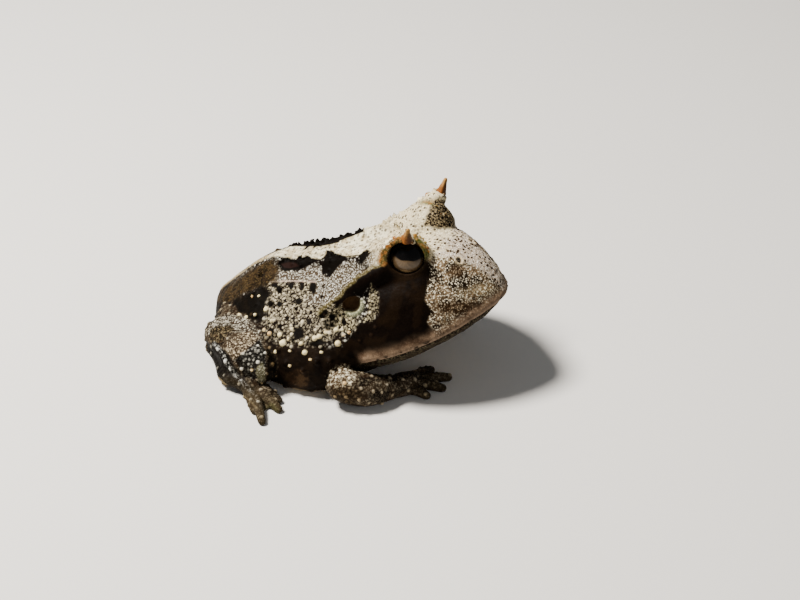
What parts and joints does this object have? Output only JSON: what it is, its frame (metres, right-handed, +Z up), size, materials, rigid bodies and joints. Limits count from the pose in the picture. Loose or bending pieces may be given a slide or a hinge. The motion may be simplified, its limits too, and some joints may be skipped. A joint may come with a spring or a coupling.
{
  "type": "surinam horned frog",
  "caption": "Life-size still model of a Surinam horned frog sitting with its head raised: wide head, spiked eyelids, warty flanks and folded legs.",
  "frame": {"origin": "middle of the frog's box on the floor it sits on", "axes": "+X the way the frog faces, +Y its left side, +Z up"},
  "size_m": [0.0724, 0.0762, 0.0433],
  "materials": {
    "head_skin": "moist, finely grained frog skin, tan and cream above with a dark brown cheek patch",
    "throat_skin": "moist frog skin, pale pinkish beige lips and a dark throat",
    "body_skin": "warty frog skin, cream band along the back, brown flanks with cream warts",
    "limb_skin": "finely grained frog skin with dark and tan bars",
    "eye": "wet and glossy, pale gold iris with a level black pupil",
    "horn": "smooth orange-brown skin spike",
    "eardrum": "smooth taut membrane with a pale rim"
  },
  "bodies": {
    "root": {"head": "head_skin", "lower_jaw": "throat_skin", "torso": "body_skin", "eye_left": "eye", "eye_right": "eye", "horn_left": "horn", "horn_right": "horn", "eardrum_left": "eardrum", "eardrum_right": "eardrum", "upper_arm_left": "limb_skin", "upper_arm_right": "limb_skin", "forearm_left": "limb_skin", "forearm_right": "limb_skin", "hand_left": "limb_skin", "hand_right": "limb_skin", "thigh_left": "limb_skin", "thigh_right": "limb_skin", "shank_left": "limb_skin", "shank_right": "limb_skin", "foot_left": "limb_skin", "foot_right": "limb_skin"}
  },
  "joints": []
}
